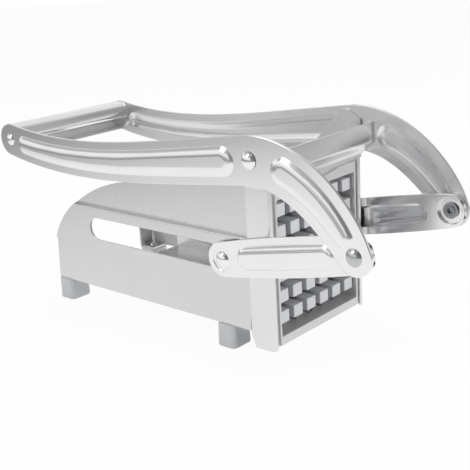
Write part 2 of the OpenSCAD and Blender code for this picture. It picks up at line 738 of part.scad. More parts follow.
// Blades: ground strips that cross in half-lap notches
grid_mid_h = first_row_h + (cells - 1) * cell_pitch / 2;
blade_front_x = front_x - blade_back;
blade_reach = 0.8;
function blade_at(k) = (k - cells / 2) * cell_pitch;
module blade_section(extra) {
    half = blade_t / 2 + extra;
    polygon([
        [blade_front_x - blade_d - extra, 0], [blade_front_x - blade_d - extra + bevel_d, -half],
        [blade_front_x + extra, -half], [blade_front_x + extra, half], [blade_front_x - blade_d - extra + bevel_d, half]
    ]);
}
module upright_blade(k, extra) {
    low = opening_low_h - blade_reach - extra;
    translate([0, blade_at(k), low]) linear_extrude(opening_top_h + blade_reach + extra - low) blade_section(extra);
}
module level_blade(k, extra) {
    half = opening_half_w + blade_reach + extra;
    translate([0, half, grid_mid_h + blade_at(k)]) rotate([90, 0, 0]) linear_extrude(2 * half) blade_section(extra);
}
lap_x = blade_front_x - blade_d / 2;
module blades_upright() {
    color("lightsteelblue") difference() {
        for (k = [1 : cells - 1]) upright_blade(k, 0);
        for (j = [1 : cells - 1])
            translate([lap_x - run, -opening_half_w - over, grid_mid_h + blade_at(j) - blade_t / 2 - run])
                cube([blade_d, 2 * (opening_half_w + over), blade_t + 2 * run]);
    }
}
module blades_level() {
    color("lightsteelblue") difference() {
        for (k = [1 : cells - 1]) level_blade(k, 0);
        for (j = [1 : cells - 1])
            translate([lap_x + run - blade_d, blade_at(j) - blade_t / 2 - run, opening_low_h - over])
                cube([blade_d, blade_t + 2 * run, opening_top_h - opening_low_h + 2 * over]);
    }
}

// Pusher: a block of pegs, one for each cell, on a folded carrier with cross pins and rollers
block_low_h = tray_h + sheet_t + gap;
block_top_h = opening_top_h - block_play;
module peg(k, j) {
    translate([0, blade_at(k) + cell_pitch / 2, grid_mid_h + blade_at(j) + cell_pitch / 2]) {
        half_w = peg_w / 2;
        half_h = peg_h / 2;
        face_x = front_x - peg_back;
        polyhedron([
            [block_x - over, -half_w, -half_h], [block_x - over, half_w, -half_h],
            [block_x - over, half_w, half_h], [block_x - over, -half_w, half_h],
            [face_x, -half_w + peg_taper, -half_h + peg_taper], [face_x, half_w - peg_taper, -half_h + peg_taper],
            [face_x, half_w - peg_taper, half_h - peg_taper], [face_x, -half_w + peg_taper, half_h - peg_taper]
        ], [[0, 1, 2, 3], [7, 6, 5, 4], [4, 5, 1, 0], [5, 6, 2, 1], [6, 7, 3, 2], [7, 4, 0, 3]]);
    }
}
screw_half = 22;
screw_margin = 12;
screw_hs = [block_low_h + screw_margin, block_top_h - screw_margin];
screw_r = 1.8;
module peg_block() {
    color("darkgray") difference() {
        union() {
            translate([carrier_x, -block_half_w, block_low_h])
                cube([block_t, 2 * block_half_w, block_top_h - block_low_h]);
            for (k = [0 : cells - 1]) for (j = [0 : cells - 1]) peg(k, j);
        }
        for (y = [-screw_half, screw_half]) for (h = screw_hs)
            translate([carrier_x - over, y, h]) rotate([0, 90, 0]) cylinder(r = screw_r, h = over + 0.7 * block_t, $fn = 32);
    }
}
module carrier_screws() {
    color("gainsboro") for (y = [-screw_half, screw_half]) for (h = screw_hs) {
        translate([carrier_x - carrier_t, y, h]) rotate([0, 90, 0])
            cylinder(r = screw_r, h = carrier_t + 0.7 * block_t, $fn = 32);
        translate([carrier_x - carrier_t - tail_h, y, h]) rotate([0, 90, 0])
            cylinder(r = 1.8 * screw_r, h = tail_h, $fn = 32);
    }
}
module flange_view() {
    flange_r = 6;
    back_x = pin_x - flange_margin;
    polygon([
        [carrier_x, slot_mid_h - flange_h / 2 - flange_r], [carrier_x, slot_mid_h + flange_h / 2 + flange_r],
        [back_x + flange_r, slot_mid_h + flange_h / 2], [back_x, slot_mid_h + flange_h / 2 - flange_r],
        [back_x, slot_mid_h - flange_h / 2 + flange_r], [back_x + flange_r, slot_mid_h - flange_h / 2]
    ]);
}
module pusher_carrier() {
    color("silver") difference() {
        union() {
            translate([carrier_x - carrier_t, -flange_out, block_low_h + over])
                cube([carrier_t, 2 * flange_out, block_top_h - block_low_h - 2 * over]);
            both() plate(flange_out - carrier_t, carrier_t) flange_view();
        }
        both() across(pin_x, slot_mid_h, flange_out - carrier_t - over, pin_r, carrier_t + 2 * over);
        for (y = [-screw_half, screw_half]) for (h = screw_hs)
            translate([carrier_x - carrier_t - over, y, h]) rotate([0, 90, 0])
                cylinder(r = screw_r, h = carrier_t + 2 * over, $fn = 32);
    }
}
pin_end = link_in - gap;
module cross_pins() {
    color("gainsboro") both() {
        across(pin_x, slot_mid_h, flange_out - carrier_t, pin_r, pin_end - flange_out + carrier_t);
        across(pin_x, slot_mid_h, flange_out - carrier_t - tail_h, tail_r, tail_h);
    }
}
module slot_rollers() {
    color("darkgray") both() difference() {
        across(pin_x, slot_mid_h, flange_out, roller_r, pin_end - gap - flange_out);
        across(pin_x, slot_mid_h, flange_out - over, pin_r + run, pin_end - flange_out + over);
    }
}

// Handle: two pressed arms joined by a rolled grip channel over a tie rod
module arm_right() {
    color("lightgray") arm();
}
module arm_left() {
    color("lightgray") left() arm();
}
module grip_channel() {
    color("gainsboro") translate([grip_x, arm_in, grip_h]) rotate([90, 0, 0]) linear_extrude(2 * arm_in) difference() {
        circle(grip_r, $fn = 96);
        circle(grip_r - grip_t, $fn = 96);
        polygon([
            [0, 0], 3 * grip_r * [cos(grip_lip_deg), sin(grip_lip_deg)],
            3 * grip_r * [cos(-grip_open_deg / 2), sin(-grip_open_deg / 2)],
            3 * grip_r * [cos(-grip_open_deg), sin(-grip_open_deg)]
        ]);
    }
}
module grip_tie_rod() {
    color("silver") across(grip_x, grip_h, -arm_out, tie_rod_r, 2 * arm_out);
}
disc_t = 2;
module grip_end_discs() {
    color("silver") both() difference() {
        across(grip_x, grip_h, arm_in - disc_t, grip_r - grip_t, disc_t);
        across(grip_x, grip_h, arm_in - disc_t - over, tie_rod_r, disc_t + 2 * over);
    }
}
module grip_screws() {
    color("gainsboro") both() dome(grip_x, grip_h, arm_out, 0.8 * dome_r, 0.8 * dome_h);
}

// Elbow rivets with a drilled tail, and the washers sunk in the link's dish that the tails are spread over
washer_set_in = link_t / 3;
tail_bore_d = link_t;
tail_bore_r = elbow_rivet_r / 2;
module elbow_rivets() {
    color("gainsboro") both() {
        difference() {
            across(elbow_x, elbow_h, link_in, elbow_rivet_r, arm_out - link_in);
            across(elbow_x, elbow_h, link_in - over, tail_bore_r, tail_bore_d + over);
        }
        dome(elbow_x, elbow_h, arm_out, dome_r, dome_h);
    }
}
module elbow_washers() {
    washer_t = boss_rise - gap - washer_set_in;
    color("dimgray") both() difference() {
        across(elbow_x, elbow_h, link_in + washer_set_in, washer_r, washer_t);
        across(elbow_x, elbow_h, link_in + washer_set_in - over, elbow_rivet_r, washer_t + 2 * over);
    }
}

// Links and the domed rivets at their pusher ends
module link_right() {
    color("lightgray") link();
}
module link_left() {
    color("lightgray") left() link();
}
module link_rivet() {
    across(pin_x, slot_mid_h, link_in, pin_r, link_out - seat_d - link_in);
    dome(pin_x, slot_mid_h, link_out - seat_d, dome_r, dome_h);
}

color("silver") wall();  // wall_right
color("silver") left() wall();  // wall_left
floor_tray();
front_housing();
hood();
pivot_rivets();
foot(foot_front_x);  // foot_front_right
left() foot(foot_front_x);  // foot_front_left
foot(foot_rear_x);  // foot_rear_right
left() foot(foot_rear_x);  // foot_rear_left
foot_screws();
cartridge_frame();
blades_upright();
blades_level();
peg_block();
pusher_carrier();
carrier_screws();
cross_pins();
slot_rollers();
arm_right();
arm_left();
grip_channel();
grip_tie_rod();
grip_end_discs();
grip_screws();
elbow_rivets();
elbow_washers();
link_right();
link_left();
color("gainsboro") link_rivet();  // link_rivet_right
color("gainsboro") left() link_rivet();  // link_rivet_left
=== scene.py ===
"""Studio scene of a hand-lever french fry cutter in pressed stainless sheet.

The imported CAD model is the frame. Each sub-assembly below takes its place from it, softens the folds and
rims that real sheet has, grows the pegs, feet and grip as meshes of their own, and gives every piece the
finish of the real one.
"""
import logging
import math
from dataclasses import dataclass, field, replace
from enum import Enum
from typing import Any

import bmesh
import bpy
from mathutils import Matrix, Vector


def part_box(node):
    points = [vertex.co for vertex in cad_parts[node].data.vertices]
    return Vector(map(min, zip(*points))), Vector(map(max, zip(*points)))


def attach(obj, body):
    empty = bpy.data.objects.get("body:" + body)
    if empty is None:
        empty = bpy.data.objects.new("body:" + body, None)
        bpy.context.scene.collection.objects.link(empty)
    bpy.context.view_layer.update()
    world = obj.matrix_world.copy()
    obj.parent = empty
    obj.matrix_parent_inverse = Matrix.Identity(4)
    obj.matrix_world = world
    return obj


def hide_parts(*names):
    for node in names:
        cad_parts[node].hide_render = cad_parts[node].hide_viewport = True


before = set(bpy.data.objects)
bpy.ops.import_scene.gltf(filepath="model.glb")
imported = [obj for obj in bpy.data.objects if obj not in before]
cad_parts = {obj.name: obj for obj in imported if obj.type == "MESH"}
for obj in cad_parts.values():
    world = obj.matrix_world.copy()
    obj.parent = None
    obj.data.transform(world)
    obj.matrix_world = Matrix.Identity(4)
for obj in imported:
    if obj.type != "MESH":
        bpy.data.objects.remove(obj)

log = logging.getLogger("fry_cutter")
MM = 0.001
DULL_MARK = "mill_side"  # face attribute that is 1 where the sheet keeps the dull side of the mill

SMOOTH_DEG = 32.0  # edges that turn more than this are shaded sharp
HARD_DEG = 40.0  # edges that turn more than this are rounded, where no weight says so
WELD_MM = 0.002  # vertices of a CAD mesh that are nearer than this are one
FLAT_DEG = 0.6  # triangles that turn less than this lie in one flat
RIM_DEG = 75.0  # a cut rim turns more than this
FOLD_DEG = 28.0  # a fold turns more than this
FOLD_RUN_MM = 6.0  # and is made of edges longer than this
FACING = 0.999  # a crowned flat faces sideways at least this squarely
CROWN_AREA_MM2 = 80.0  # smaller flats stay flat
LEVEL_SLACK_MM = 0.05  # a flat this near to a stated level counts as lying on it
INSIDE_LEAN = 0.35  # a face that leans inwards more than this is on the sheet's inside
BLOCK_WELD_MM = 0.001  # vertices of a block that are nearer than this are one
CORNER_STEPS = 5  # steps round a block's corner
BEND_STEPS = 72  # steps round the rolled grip
EDGE_STEPS = 3  # steps round the edge of its sheet


class Grain(Enum):
    """Axis that the rolling or grinding lines of a metal run along."""

    ALONG_X = 0
    ALONG_Y = 1
    ALONG_Z = 2


# Colours and nodes
def linear(hex_colour: str) -> tuple[float, float, float, float]:
    """Turns an sRGB hex colour into linear light.

    Args:
        hex_colour: Six digits after a hash sign.

    Returns:
        Red, green, blue and alpha, each from 0 to 1.
    """
    parts = [int(hex_colour[i:i + 2], 16) / 255 for i in (1, 3, 5)]
    red, green, blue = (p / 12.92 if p <= 0.04045 else ((p + 0.055) / 1.055) ** 2.4 for p in parts)
    return red, green, blue, 1.0


def add_node(tree: bpy.types.NodeTree, kind: str, inputs: dict[Any, Any] | None = None,
             **settings: Any) -> bpy.types.Node:
    """Adds one node to a tree, with its settings, values and links.

    Args:
        tree: Node tree that takes the node.
        kind: Blender's name of the node type.
        inputs: Value, or output socket to link from, for each input by name or number.
        **settings: Properties of the node itself.

    Returns:
        The new node.
    """
    made = tree.nodes.new(kind)
    for name, value in settings.items():
        setattr(made, name, value)
    for key, value in (inputs or {}).items():
        if isinstance(value, bpy.types.NodeSocket):
            tree.links.new(value, made.inputs[key])
        else:
            made.inputs[key].default_value = value
    return made


# Finishes
@dataclass(frozen=True)
class Finish:
    """What all finishes share: a name, a colour and how rough the surface is."""

    name: str
    colour: str
    roughness: float

    def start(self) -> tuple[bpy.types.NodeTree, bpy.types.Node, bpy.types.NodeSocket]:
        """Starts the material's tree.

        Returns:
            The tree, its Principled node, and the Object coordinates.
        """
        material = bpy.data.materials.new(self.name)
        material.use_nodes = True
        tree = material.node_tree
        shader = tree.nodes["Principled BSDF"]
        shader.inputs["Base Color"].default_value = linear(self.colour)
        shader.inputs["Roughness"].default_value = self.roughness
        place = add_node(tree, "ShaderNodeTexCoord").outputs["Object"]
        return tree, shader, place

    def material(self) -> bpy.types.Material:
        """Returns the finish's material, made once and then shared."""
        if self.name not in bpy.data.materials:
            self.make()
        return bpy.data.materials[self.name]

    def make(self) -> None:
        """Builds the material's nodes."""
        raise NotImplementedError

    def clouds(self, tree: bpy.types.NodeTree, place: bpy.types.NodeSocket, shader: bpy.types.Node,
               second_colour: str, size_mm: float) -> None:
        """Lets the colour drift softly between two near shades.

        Args:
            tree: Material tree.
            place: Object coordinates.
            shader: Node whose base colour drifts.
            second_colour: The other shade, as sRGB hex.
            size_mm: Width of one cloud.
        """
        noise = add_node(tree, "ShaderNodeTexNoise", {
            "Vector": place, "Scale": 1 / (size_mm * MM), "Detail": 2.0})
        blend = add_node(tree, "ShaderNodeMix", {
            0: noise.outputs["Fac"], 6: linear(self.colour), 7: linear(second_colour)}, data_type="RGBA")
        tree.links.new(blend.outputs[2], shader.inputs["Base Color"])


@dataclass(frozen=True)
class RolledStainless(Finish):
    """Cold-rolled stainless sheet, lightly brushed: soft broad reflections and faint lines along the roll."""

    grain: Grain
    shade: str
    line_mm: float = 0.3  # real lines are near 0.05 mm, drawn coarser so that they show
    run_mm: float = 160.0
    cloud_mm: float = 45.0
    uneven: float = 0.014
    line_depth_mm: float = 0.00004
    line_bump: float = 0.25
    noise_low: float = 0.3  # most of the noise lies between these two
    noise_high: float = 0.7
    metallic: float = 1.0
    mill_dull: float = 0.0  # share of the mirror that the oxide of an unpolished mill side takes away
    mill_rough: float = 0.18  # how much rougher a wholly dull mill side is

    def make(self) -> None:
        """Builds the material's nodes."""
        tree, shader, place = self.start()
        shader.inputs["Metallic"].default_value = self.metallic
        pitch = [1 / (self.line_mm * MM)] * 3
        pitch[self.grain.value] = 1 / (self.run_mm * MM)
        lines = add_node(tree, "ShaderNodeMapping", {"Vector": place, "Scale": tuple(pitch)})
        brush = add_node(tree, "ShaderNodeTexNoise", {"Vector": lines.outputs[0], "Scale": 1.0, "Detail": 1.0})
        spread = add_node(tree, "ShaderNodeMapRange", {
            "Value": brush.outputs["Fac"], "From Min": self.noise_low, "From Max": self.noise_high,
            "To Min": self.roughness - self.uneven, "To Max": self.roughness + self.uneven})
        rough = spread.outputs[0]
        if self.mill_dull:
            mill_side = add_node(tree, "ShaderNodeAttribute", attribute_name=DULL_MARK).outputs["Fac"]
            metal = add_node(tree, "ShaderNodeMapRange", {
                "Value": mill_side, "To Min": self.metallic, "To Max": self.metallic * (1 - self.mill_dull)})
            tree.links.new(metal.outputs[0], shader.inputs["Metallic"])
            rough = add_node(tree, "ShaderNodeMath", {
                0: mill_side, 1: self.mill_rough * self.mill_dull, 2: rough}, operation="MULTIPLY_ADD").outputs[0]
        tree.links.new(rough, shader.inputs["Roughness"])
        bump = add_node(tree, "ShaderNodeBump", {
            "Height": brush.outputs["Fac"], "Strength": self.line_bump, "Distance": self.line_depth_mm * MM})
        tree.links.new(bump.outputs[0], shader.inputs["Normal"])
        self.clouds(tree, place, shader, self.shade, self.cloud_mm)


@dataclass(frozen=True)
class PolishedSteel(Finish):
    """Tumbled and polished steel of rivets, screws and pins: near-mirror, with a faint orange-peel swell."""

    swell_mm: float = 1.6
    swell_depth_mm: float = 0.006
    swell_bump: float = 0.5
    smoothest: float = 0.6  # shares of the roughness between which it drifts
    roughest: float = 1.6
    # painted shade: colour of the rivet's tail down in the bore
    bore_shade_colour: str = "#8a8c8e"
    bore_shade_within_mm: float = 0.0  # nearer to the middle plane than this, down in the bore, the metal is painted darker as painted shade

    def make(self) -> None:
        """Builds the material's nodes."""
        tree, shader, place = self.start()
        shader.inputs["Metallic"].default_value = 1.0
        # Painted shade: the part of the rivet down in the bore is painted darker
        if self.bore_shade_within_mm:
            across = add_node(tree, "ShaderNodeSeparateXYZ", {0: place}).outputs["Y"]
            reach = add_node(tree, "ShaderNodeMath", {0: across}, operation="ABSOLUTE")
            bore_shaded = add_node(tree, "ShaderNodeMath", {0: reach.outputs[0], 1: self.bore_shade_within_mm * MM},
                            operation="LESS_THAN")
            tone = add_node(tree, "ShaderNodeMix", {
                0: bore_shaded.outputs[0], 6: linear(self.colour), 7: linear(self.bore_shade_colour)}, data_type="RGBA")
            tree.links.new(tone.outputs[2], shader.inputs["Base Color"])
        peel = add_node(tree, "ShaderNodeTexNoise", {
            "Vector": place, "Scale": 1 / (self.swell_mm * MM), "Detail": 1.0})
        spread = add_node(tree, "ShaderNodeMapRange", {
            "Value": peel.outputs["Fac"], "To Min": self.smoothest * self.roughness,
            "To Max": self.roughest * self.roughness})
        tree.links.new(spread.outputs[0], shader.inputs["Roughness"])
        bump = add_node(tree, "ShaderNodeBump", {
            "Height": peel.outputs["Fac"], "Strength": self.swell_bump, "Distance": self.swell_depth_mm * MM})
        tree.links.new(bump.outputs[0], shader.inputs["Normal"])


@dataclass(frozen=True)
class MouldedPlastic(Finish):
    """Injection-moulded plastic or rubber from a spark-eroded mould: soft sheen over a fine even grain."""

    shade: str
    grain_mm: float = 0.3
    grain_depth_mm: float = 0.012
    grain_bump: float = 0.4
    uneven: float = 0.06
    cloud_mm: float = 9.0
    ior: float = 1.5

    def make(self) -> None:
        """Builds the material's nodes."""
        tree, shader, place = self.start()
        shader.inputs["IOR"].default_value = self.ior
        spark = add_node(tree, "ShaderNodeTexNoise", {
            "Vector": place, "Scale": 1 / (self.grain_mm * MM), "Detail": 3.0, "Roughness": 0.6})
        spread = add_node(tree, "ShaderNodeMapRange", {
            "Value": spark.outputs["Fac"], "To Min": self.roughness - self.uneven,
            "To Max": self.roughness + self.uneven})
        tree.links.new(spread.outputs[0], shader.inputs["Roughness"])
        bump = add_node(tree, "ShaderNodeBump", {
            "Height": spark.outputs["Fac"], "Strength": self.grain_bump, "Distance": self.grain_depth_mm * MM})
        tree.links.new(bump.outputs[0], shader.inputs["Normal"])
        self.clouds(tree, place, shader, self.shade, self.cloud_mm)


# Cold-rolled sheet brushed along the body: the tray, the carrier and, dull inside, the walls
SHEET_ALONG = RolledStainless("satin_stainless_along", "#d9d9da", 0.27, Grain.ALONG_X, shade="#d3d3d4")
WALL_SHEET = replace(SHEET_ALONG, name="satin_stainless_dull_inside", mill_dull=0.85)
# The same sheet with its grain upright, its colour painted lighter as painted light that brightens the front
# columns: the grip's end discs and, dull inside, the front housing
SHEET_UPRIGHT = RolledStainless("satin_stainless_upright", "#e6e6e7", 0.25, Grain.ALONG_Z, shade="#dededf")
FRONT_SHEET = replace(SHEET_UPRIGHT, name="satin_stainless_upright_dull_inside", mill_dull=0.85)
# Blasted sheet of the cartridge, an even matt grain without lines
BLASTED = RolledStainless("blasted_stainless", "#d6d6d7", 0.45, Grain.ALONG_Y, shade="#cececf",
                          line_mm=0.6, run_mm=1.0, metallic=0.5)
# Bright sheet, pressed and polished: the links and, dull inside, the arms and the rolled grip
PRESSED_BRIGHT = RolledStainless("bright_pressed_stainless", "#efefef", 0.2, Grain.ALONG_X, shade="#eaeaeb")
ARM_SHEET = replace(PRESSED_BRIGHT, name="bright_pressed_stainless_dull_inside", mill_dull=0.25)
GRIP_SHEET = replace(PRESSED_BRIGHT, name="bright_rolled_stainless_dull_inside", mill_dull=0.85)
# Steel strip of the blades with fine grinding lines
GROUND_STRIP = RolledStainless("ground_blade_strip", "#b9bbbe", 0.24, Grain.ALONG_X, shade="#a7a9ac",
                               line_mm=0.25, run_mm=5.0)
# Solid steel: polished rivets, screws and pins, elbow rivets whose tails in the bore are painted darker as
# painted shade, and dull washers
POLISHED = PolishedSteel("polished_steel", "#c2c3c4", 0.22)
ELBOW_STEEL = PolishedSteel("polished_elbow_rivet", "#c2c3c4", 0.22, bore_shade_within_mm=44.6)
DULL_STEEL = PolishedSteel("tumbled_dull_steel", "#a2a4a6", 0.3)
# Moulded grey plastic of the pegs and rollers, and pale rubber of the feet
PEG_PLASTIC = MouldedPlastic("moulded_grey_plastic", "#cacbcd", 0.42, shade="#c3c5c7")
FOOT_RUBBER = MouldedPlastic("moulded_foot_rubber", "#dcdee0", 0.55, shade="#d3d5d7", grain_mm=0.4)


# Meshes
def merged(*nodes: str) -> bmesh.types.BMesh:
    """Takes copies of CAD nodes as one mesh, with doubles merged and flat triangles joined.

    Args:
        *nodes: Names of the CAD nodes.

    Returns:
        The joined mesh.
    """
    mesh = bmesh.new()
    for name in nodes:
        mesh.from_mesh(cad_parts[name].data)
    bmesh.ops.remove_doubles(mesh, verts=mesh.verts, dist=WELD_MM * MM)
    seam = [f for f in mesh.faces if all(len(e.link_faces) > 2 for e in f.edges)]
    bmesh.ops.delete(mesh, geom=seam, context="FACES")
    bmesh.ops.dissolve_limit(mesh, angle_limit=math.radians(FLAT_DEG), verts=mesh.verts[:],
                             edges=mesh.edges[:], delimit={"SEAM"})
    return mesh


def weigh_edges(mesh: bmesh.types.BMesh, fold_share: float, rim_share: float) -> None:
    """Marks how widely each edge is rounded: folds of the sheet widely, cut rims a little.

    Args:
        mesh: Mesh whose edges are marked.
        fold_share: Share of the rounding that a fold gets.
        rim_share: Share of the rounding that a cut rim gets.
    """
    weight = mesh.edges.layers.float.new("bevel_weight_edge")
    for edge in mesh.edges:
        if len(edge.link_faces) != 2:
            continue
        turn = math.degrees(edge.calc_face_angle(0.0))
        if turn > RIM_DEG:
            edge[weight] = rim_share
        elif turn > FOLD_DEG and edge.calc_length() > FOLD_RUN_MM * MM:
            edge[weight] = fold_share


def crown(mesh: bmesh.types.BMesh, level_mm: float, rise_mm: float, span_mm: float, steps: int = 6) -> None:
    """Swells the flats at one level, such as a pressed rib's top, into a shallow crown.

    Args:
        mesh: Mesh of a pressed part that lies across the cutter's Y axis.
        level_mm: Distance of the flat from the middle plane.
        rise_mm: How far the crown stands out in its middle.
        span_mm: Width of the band, from the flat's edge inwards, in which it rises.
        steps: Rings across that band.
    """
    flats = [f for f in mesh.faces if abs(f.normal.y) > FACING and f.calc_area() > CROWN_AREA_MM2 * MM * MM
             and abs(abs(f.calc_center_median().y) - level_mm * MM) < LEVEL_SLACK_MM * MM]
    for flat in flats:
        outwards = 1.0 if flat.normal.y * flat.calc_center_median().y > 0 else -1.0
        height = [rise_mm * (1 - (1 - k / steps) ** 2) for k in range(steps + 1)]
        for low, high in zip(height, height[1:]):
            bmesh.ops.inset_region(mesh, faces=[flat], thickness=span_mm / steps * MM, use_even_offset=True,
                                   depth=outwards * (high - low) * MM)


def mark_mill_side(mesh: bmesh.types.BMesh) -> None:
    """Marks the faces that look towards the middle plane, where the sheet keeps the dull side of the mill.

    Args:
        mesh: Mesh of a folded part whose bright side is outside.
    """
    dull = mesh.faces.layers.float.new(DULL_MARK)
    for face in mesh.faces:
        outwards = math.copysign(1.0, face.calc_center_median().y)
        face[dull] = 1.0 if face.normal.y * outwards < -INSIDE_LEAN else 0.0


def to_object(name: str, mesh: bmesh.types.BMesh) -> bpy.types.Object:
    """Puts a mesh into the scene, smooth apart from its hard edges.

    Args:
        name: Name of the piece.
        mesh: Mesh, which is freed here.

    Returns:
        The new object.
    """
    data = bpy.data.meshes.new(name)
    mesh.to_mesh(data)
    mesh.free()
    data.polygons.foreach_set("use_smooth", [True] * len(data.polygons))
    data.set_sharp_from_angle(angle=math.radians(SMOOTH_DEG))
    piece = bpy.data.objects.new(name, data)
    bpy.context.scene.collection.objects.link(piece)
    return piece


def round_edges(piece: bpy.types.Object, width_mm: float, by_weight: bool, segments: int = 2) -> None:
    """Rounds a piece's edges with a bevel whose shading stays flat on the flats.

    Args:
        piece: Object to finish.
        width_mm: Width of the widest rounding.
        by_weight: True to follow the edge weights, False to round each hard edge alike.
        segments: Steps across the rounding.
    """
    bevel = piece.modifiers.new("rounding", "BEVEL")
    bevel.width = width_mm * MM
    bevel.segments = segments
    bevel.limit_method = "WEIGHT" if by_weight else "ANGLE"
    bevel.angle_limit = math.radians(HARD_DEG)
    bevel.use_clamp_overlap = False
    normals = piece.modifiers.new("flats", "WEIGHTED_NORMAL")
    normals.keep_sharp = True


def new_geometry_tree(name: str, inputs: dict[str, str]) -> tuple[bpy.types.NodeTree, Any]:
    """Starts a geometry tree with its named inputs and one geometry output.

    Args:
        name: Name of the tree.
        inputs: Kind of each input by name: Float, Int, Vector or Material.

    Returns:
        The tree and the outputs of its Group Input node.
    """
    tree = bpy.data.node_groups.new(name, "GeometryNodeTree")
    for label, kind in inputs.items():
        tree.interface.new_socket(label, in_out="INPUT", socket_type="NodeSocket" + kind)
    tree.interface.new_socket("Geometry", in_out="OUTPUT", socket_type="NodeSocketGeometry")
    return tree, add_node(tree, "NodeGroupInput").outputs


def close_tree(tree: bpy.types.NodeTree, geometry: bpy.types.NodeSocket, finish: bpy.types.NodeSocket) -> None:
    """Ends a geometry tree in plain geometry with its material.

    Args:
        tree: Geometry tree.
        geometry: What the tree has made, instances included.
        finish: Material input.
    """
    real = add_node(tree, "GeometryNodeRealizeInstances", {"Geometry": geometry})
    smooth = add_node(tree, "GeometryNodeSetShadeSmooth", {"Geometry": real.outputs[0]})
    angle = add_node(tree, "GeometryNodeInputMeshEdgeAngle")
    hard = add_node(tree, "FunctionNodeCompare", {0: angle.outputs[0], 1: math.radians(SMOOTH_DEG)},
                    data_type="FLOAT", operation="GREATER_THAN")
    sharp = add_node(tree, "GeometryNodeSetShadeSmooth", {
        "Geometry": smooth.outputs[0], "Selection": hard.outputs[0], "Shade Smooth": False}, domain="EDGE")
    dressed = add_node(tree, "GeometryNodeSetMaterial", {"Geometry": sharp.outputs[0], "Material": finish})
    add_node(tree, "NodeGroupOutput", {"Geometry": dressed.outputs[0]})


def grown(name: str, tree: bpy.types.NodeTree, sizes: dict[str, Any]) -> bpy.types.Object:
    """Runs a geometry tree once and keeps its result as a plain mesh.

    Args:
        name: Name of the piece.
        tree: Geometry tree.
        sizes: Value of each input by name.

    Returns:
        An object with a plain mesh and no modifier.
    """
    piece = bpy.data.objects.new(name, bpy.data.meshes.new(name + "_seed"))
    bpy.context.scene.collection.objects.link(piece)
    modifier = piece.modifiers.new("grow", "NODES")
    modifier.node_group = tree
    for item in tree.interface.items_tree:
        if item.in_out == "INPUT" and item.name in sizes:
            modifier[item.identifier] = sizes[item.name]
    graph = bpy.context.evaluated_depsgraph_get()
    mesh = bpy.data.meshes.new_from_object(piece.evaluated_get(graph))
    piece.modifiers.remove(modifier)
    mesh.name = name
    piece.data = mesh
    return piece


def block_grid_tree() -> bpy.types.NodeTree:
    """Builds the tree of a grid of drafted blocks with rounded corners, used for the pegs and the feet.

    Returns:
        The tree. Blocks stand along +Z before Turn and Place put the grid where it belongs.
    """
    tree, given = new_geometry_tree("drafted_block_grid", {
        "Block length": "Float", "Block width": "Float", "Corner radius": "Float", "Block height": "Float",
        "Draft share": "Float", "Columns": "Int", "Rows": "Int", "Column pitch": "Float", "Row pitch": "Float",
        "Turn": "Vector", "Place": "Vector", "Finish": "Material"})
    outline = add_node(tree, "GeometryNodeCurvePrimitiveQuadrilateral", {
        "Width": given["Block length"], "Height": given["Block width"]})
    rounded = add_node(tree, "GeometryNodeFilletCurve", {
        "Curve": outline.outputs[0], "Count": CORNER_STEPS, "Radius": given["Corner radius"]}, mode="POLY")
    base = add_node(tree, "GeometryNodeFillCurve", {"Curve": rounded.outputs[0]}, mode="NGONS")
    raised = add_node(tree, "GeometryNodeExtrudeMesh", {
        "Mesh": base.outputs[0], "Offset": (0.0, 0.0, 1.0), "Offset Scale": given["Block height"],
        "Individual": False})
    drafted = add_node(tree, "GeometryNodeScaleElements", {
        "Geometry": raised.outputs["Mesh"], "Selection": raised.outputs["Top"], "Scale": given["Draft share"]})
    under = add_node(tree, "GeometryNodeFlipFaces", {"Mesh": base.outputs[0]})
    both = add_node(tree, "GeometryNodeJoinGeometry")
    tree.links.new(drafted.outputs[0], both.inputs[0])
    tree.links.new(under.outputs[0], both.inputs[0])
    block = add_node(tree, "GeometryNodeMergeByDistance", {
        "Geometry": both.outputs[0], "Distance": BLOCK_WELD_MM * MM})
    spans = []
    for count, pitch in (("Columns", "Column pitch"), ("Rows", "Row pitch")):
        steps = add_node(tree, "ShaderNodeMath", {0: given[count], 1: 1.0}, operation="SUBTRACT")
        spans.append(add_node(tree, "ShaderNodeMath", {0: steps.outputs[0], 1: given[pitch]},
                              operation="MULTIPLY"))
    grid = add_node(tree, "GeometryNodeMeshGrid", {
        "Size X": spans[0].outputs[0], "Size Y": spans[1].outputs[0],
        "Vertices X": given["Columns"], "Vertices Y": given["Rows"]})
    blocks = add_node(tree, "GeometryNodeInstanceOnPoints", {
        "Points": grid.outputs["Mesh"], "Instance": block.outputs[0]})
    placed = add_node(tree, "GeometryNodeTransform", {
        "Geometry": blocks.outputs[0], "Translation": given["Place"], "Rotation": given["Turn"]})
    close_tree(tree, placed.outputs[0], given["Finish"])
    return tree


